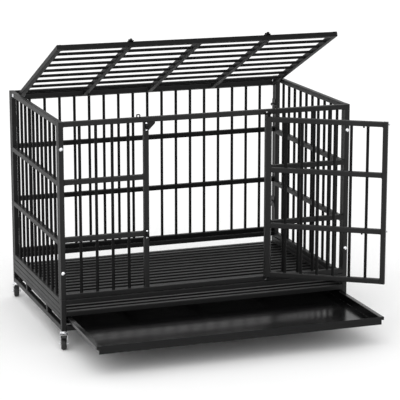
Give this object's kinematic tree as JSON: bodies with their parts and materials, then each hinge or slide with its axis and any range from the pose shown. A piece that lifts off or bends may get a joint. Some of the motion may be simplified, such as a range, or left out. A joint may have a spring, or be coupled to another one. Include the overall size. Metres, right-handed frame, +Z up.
{
  "type": "dog crate",
  "caption": "Heavy duty dog crate of welded square tube and round bars on casters, with a hinged door, a lifting lid, slide bolts, a slatted floor and a pull-out tray.",
  "frame": {"origin": "middle of the floor's upper face, on the middle slat; the ground lies 150 mm below it", "axes": "+X along the length to the right seen from the front, +Y from the front to the back, +Z up"},
  "size_m": [1.2869, 1.2346, 1.204],
  "materials": {
    "black_paint": "satin black powder coat",
    "black_plastic": "moulded black plastic",
    "zinc_steel": "bright zinc plate",
    "wheel_rubber": "black rubber tread"
  },
  "bodies": {
    "crate": {"front_uprights": "black_paint", "front_rails": "black_paint", "front_bars": "black_paint", "back_uprights": "black_paint", "back_rails": "black_paint", "back_bars": "black_paint", "left_uprights": "black_paint", "left_rails": "black_paint", "left_bars": "black_paint", "right_uprights": "black_paint", "right_rails": "black_paint", "right_bars": "black_paint", "upright_caps": "black_plastic", "base_posts": "black_paint", "base_long_rails": "black_paint", "base_side_rails": "black_paint", "base_struts": "black_paint", "corner_connectors": "black_plastic", "floor_frame": "black_paint", "floor_slats": "black_paint", "tray_runners": "black_paint", "corner_bolts": "zinc_steel", "lock_nuts": "zinc_steel", "joining_plates": "black_paint", "plate_bolts": "zinc_steel", "lid_pivot_bolts": "zinc_steel", "lid_eyes": "black_paint", "door_stop_plate": "black_paint", "door_keepers": "black_paint", "keeper_screws": "zinc_steel", "jamb_hinge_barrels": "black_paint", "door_hinge_pins": "zinc_steel", "caster_stems": "zinc_steel"},
    "door": {"door_uprights": "black_paint", "door_rails": "black_paint", "door_bars": "black_paint", "door_hinge_barrels": "black_paint", "door_bolt_guides": "black_paint", "guide_screws": "zinc_steel"},
    "upper_bolt": {"upper_door_bolt": "zinc_steel"},
    "lower_bolt": {"lower_door_bolt": "zinc_steel"},
    "lid": {"lid_side_rails": "black_paint", "lid_end_rails": "black_paint", "lid_cross_bars": "black_paint", "lid_slats": "black_paint", "lid_bolt_guides": "black_paint"},
    "left_top_bolt": {"left_lid_bolt": "black_paint"},
    "right_top_bolt": {"right_lid_bolt": "black_paint"},
    "pull_out_tray": {"tray": "black_paint"},
    "front_left_swivel": {"front_left_fork": "zinc_steel"},
    "front_left_roller": {"front_left_wheel": "wheel_rubber"},
    "front_right_swivel": {"front_right_fork": "zinc_steel"},
    "front_right_roller": {"front_right_wheel": "wheel_rubber"},
    "back_left_swivel": {"back_left_fork": "zinc_steel"},
    "back_left_roller": {"back_left_wheel": "wheel_rubber"},
    "back_right_swivel": {"back_right_fork": "zinc_steel"},
    "back_right_roller": {"back_right_wheel": "wheel_rubber"},
    "front_left_lever": {"front_left_brake": "black_plastic"},
    "front_right_lever": {"front_right_brake": "black_plastic"}
  },
  "joints": [
    {"name": "door_hinge", "type": "hinge", "parent": "crate", "child": "door", "pos_m": [0.246, -0.4014, 0.4], "axis": [0, 0, 1], "range_deg": [-146.3, 18.7]},
    {"name": "upper_bolt_slide", "type": "slide", "parent": "door", "child": "upper_bolt", "axis": [0.832, -0.5548, 0], "range_m": [0, 0.018]},
    {"name": "lower_bolt_slide", "type": "slide", "parent": "door", "child": "lower_bolt", "axis": [0.832, -0.5548, 0], "range_m": [0, 0.018]},
    {"name": "lid_hinge", "type": "hinge", "parent": "crate", "child": "lid", "pos_m": [0, 0.325, 0.7464], "axis": [-1, 0, 0], "range_deg": [-24.3, 120.7]},
    {"name": "left_top_bolt_slide", "type": "slide", "parent": "lid", "child": "left_top_bolt", "axis": [0, -0.9114, 0.4115], "range_m": [0, 0.016]},
    {"name": "right_top_bolt_slide", "type": "slide", "parent": "lid", "child": "right_top_bolt", "axis": [0, -0.9114, 0.4115], "range_m": [0, 0.016]},
    {"name": "tray_slide", "type": "slide", "parent": "crate", "child": "pull_out_tray", "axis": [0, -1, 0], "range_m": [-0.41, 0.15]},
    {"name": "front_left_caster_swivel", "type": "hinge", "parent": "crate", "child": "front_left_swivel", "pos_m": [-0.6, -0.386, -0.085], "axis": [0, 0, 1], "continuous": true},
    {"name": "front_left_wheel_spin", "type": "hinge", "parent": "front_left_swivel", "child": "front_left_roller", "pos_m": [-0.6044, -0.40242, -0.125], "axis": [0.9659, -0.2588, 0], "continuous": true},
    {"name": "front_right_caster_swivel", "type": "hinge", "parent": "crate", "child": "front_right_swivel", "pos_m": [0.6, -0.386, -0.085], "axis": [0, 0, 1], "continuous": true},
    {"name": "front_right_wheel_spin", "type": "hinge", "parent": "front_right_swivel", "child": "front_right_roller", "pos_m": [0.5956, -0.40242, -0.125], "axis": [0.9659, -0.2588, 0], "continuous": true},
    {"name": "back_left_caster_swivel", "type": "hinge", "parent": "crate", "child": "back_left_swivel", "pos_m": [-0.6, 0.386, -0.085], "axis": [0, 0, 1], "continuous": true},
    {"name": "back_left_wheel_spin", "type": "hinge", "parent": "back_left_swivel", "child": "back_left_roller", "pos_m": [-0.5956, 0.40242, -0.125], "axis": [0.9659, -0.2588, 0], "continuous": true},
    {"name": "back_right_caster_swivel", "type": "hinge", "parent": "crate", "child": "back_right_swivel", "pos_m": [0.6, 0.386, -0.085], "axis": [0, 0, 1], "continuous": true},
    {"name": "back_right_wheel_spin", "type": "hinge", "parent": "back_right_swivel", "child": "back_right_roller", "pos_m": [0.6044, 0.40242, -0.125], "axis": [0.9659, -0.2588, 0], "continuous": true},
    {"name": "front_left_brake_tilt", "type": "hinge", "parent": "front_left_swivel", "child": "front_left_lever", "pos_m": [-0.60776, -0.41498, -0.094], "axis": [0.9659, -0.2588, 0], "range_deg": [0, 18]},
    {"name": "front_right_brake_tilt", "type": "hinge", "parent": "front_right_swivel", "child": "front_right_lever", "pos_m": [0.59223, -0.41498, -0.094], "axis": [0.9659, -0.2588, 0], "range_deg": [0, 18]}
  ]
}
